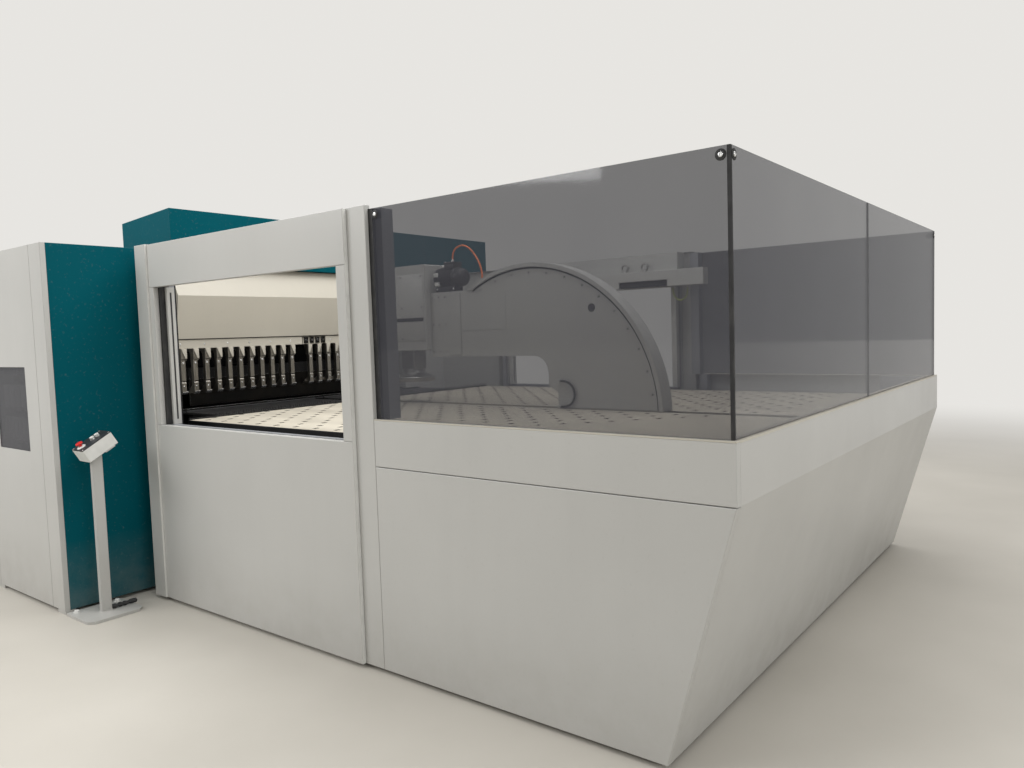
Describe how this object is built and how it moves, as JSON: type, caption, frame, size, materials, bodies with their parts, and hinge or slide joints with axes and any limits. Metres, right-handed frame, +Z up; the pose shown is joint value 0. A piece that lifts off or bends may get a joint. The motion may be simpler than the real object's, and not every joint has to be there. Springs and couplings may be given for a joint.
{
  "type": "automatic folding machine",
  "caption": "Automatic sheet metal folding machine: glazed worktable, half-disc manipulator, segmented hold-down tools, control cabinet and pedestal.",
  "frame": {"origin": "centre of the footprint, on the floor", "axes": "+X along the front towards the glazed end, +Y from the loading side to the back, +Z up"},
  "size_m": [5.39, 4.612, 2.4999],
  "materials": {
    "grey_paint": "satin",
    "teal_paint": "satin",
    "cream_paint": "satin",
    "dark_paint": "satin",
    "frame_paint": "satin",
    "table_steel": "satin",
    "tool_steel": "satin",
    "ground_steel": "satin",
    "bright_metal": "satin",
    "smoked_glass": "gloss",
    "rubber": "matte",
    "black_plastic": "matte",
    "pale_plastic": "satin",
    "red_plastic": "gloss",
    "orange_hose": "satin",
    "green_hose": "satin",
    "black_steel": "satin"
  },
  "bodies": {
    "machine": {"base_frame": "frame_paint", "levelling_feet": "ground_steel", "kick_plinth": "dark_paint", "portal_posts": "grey_paint", "portal_frames": "grey_paint", "portal_lower_panels": "grey_paint", "bay_lower_panels": "grey_paint", "bay_bands": "grey_paint", "side_panels": "grey_paint", "sill_trim": "cream_paint", "bay_glass": "smoked_glass", "side_glass": "smoked_glass", "rubber_seals": "rubber", "glass_bolts": "bright_metal", "glass_posts": "frame_paint", "light_curtains": "grey_paint", "rear_gate": "grey_paint", "lifting_eyes": "ground_steel", "gate_hose": "green_hose", "table_frame": "frame_paint", "table_plates_front": "table_steel", "table_plates_rear": "table_steel", "table_trim": "dark_paint", "travel_rails": "ground_steel", "press_frame": "frame_paint", "upper_housing": "teal_paint", "press_hood": "cream_paint", "press_panels": "grey_paint", "dark_screens": "dark_paint", "lower_beam": "dark_paint", "counter_blade": "black_steel", "bridge_plates": "dark_paint", "cabinet_shell": "grey_paint", "cabinet_side": "teal_paint", "pedestal_stand": "grey_paint", "cable_fitting": "black_plastic", "button_box": "pale_plastic", "box_lid": "black_plastic"},
    "manipulator": {"manipulator_carriage": "frame_paint", "manipulator_plate": "grey_paint", "manipulator_rim": "grey_paint", "manipulator_head": "grey_paint", "drive_motor": "black_plastic", "arm_hose": "orange_hose", "arm_cable": "rubber"},
    "clamp": {"clamp_ram": "ground_steel"},
    "upper_turner": {"upper_rotor": "ground_steel"},
    "lower_turner": {"lower_rotor": "ground_steel"},
    "blankholder": {"blankholder_beam": "dark_paint", "holder_bars": "cream_paint"},
    "tools_front": {"front_tools": "tool_steel"},
    "tools_rear": {"rear_tools": "tool_steel"},
    "crosshead": {"blade_slide": "dark_paint"},
    "blades": {"blade_beam": "dark_paint", "bending_blades": "black_steel"},
    "door": {"cabinet_door": "grey_paint", "cabinet_window": "smoked_glass"},
    "stop": {"stop_button": "red_plastic"},
    "start": {"start_button": "pale_plastic"},
    "reset": {"reset_button": "pale_plastic"}
  },
  "joints": [
    {"name": "manipulator_travel", "type": "slide", "parent": "machine", "child": "manipulator", "axis": [1, 0, 0], "range_m": [-0.9, 0.65]},
    {"name": "clamp_lift", "type": "slide", "parent": "manipulator", "child": "clamp", "axis": [0, 0, 1], "range_m": [-0.15, 0.12]},
    {"name": "upper_turn", "type": "hinge", "parent": "clamp", "child": "upper_turner", "pos_m": [-0.417, -0.114, 1.056], "axis": [0, 0, 1], "continuous": true},
    {"name": "lower_turn", "type": "hinge", "parent": "manipulator", "child": "lower_turner", "pos_m": [-0.417, -0.114, 1.056], "axis": [0, 0, 1], "continuous": true},
    {"name": "blankholder_lift", "type": "slide", "parent": "machine", "child": "blankholder", "axis": [0, 0, 1], "range_m": [-0.11, 0]},
    {"name": "tools_front_shift", "type": "slide", "parent": "blankholder", "child": "tools_front", "axis": [0, 1, 0], "range_m": [-0.04, 0]},
    {"name": "tools_rear_shift", "type": "slide", "parent": "blankholder", "child": "tools_rear", "axis": [0, 1, 0], "range_m": [0, 0.04]},
    {"name": "crosshead_travel", "type": "slide", "parent": "machine", "child": "crosshead", "axis": [1, 0, 0], "range_m": [-0.04, 0]},
    {"name": "blade_lift", "type": "slide", "parent": "crosshead", "child": "blades", "axis": [0, 0, 1], "range_m": [-0.06, 0.06]},
    {"name": "door_hinge", "type": "hinge", "parent": "machine", "child": "door", "pos_m": [-1.283, -2.303, 1.074], "axis": [0, 0, 1], "range_deg": [0, 110]},
    {"name": "stop_press", "type": "slide", "parent": "machine", "child": "stop", "axis": [0, 0.5, -0.866], "range_m": [0, 0.01], "stiffness_N_per_m": 900, "springref_m": -0.004},
    {"name": "start_press", "type": "slide", "parent": "machine", "child": "start", "axis": [0, 0.5, -0.866], "range_m": [0, 0.005], "stiffness_N_per_m": 900, "springref_m": -0.003},
    {"name": "reset_press", "type": "slide", "parent": "machine", "child": "reset", "axis": [0, 0.5, -0.866], "range_m": [0, 0.005], "stiffness_N_per_m": 900, "springref_m": -0.003}
  ],
  "couplings": [
    {"joint": "lower_turn", "follows": "upper_turn", "ratio": 1},
    {"joint": "tools_rear_shift", "follows": "tools_front_shift", "ratio": -1}
  ]
}
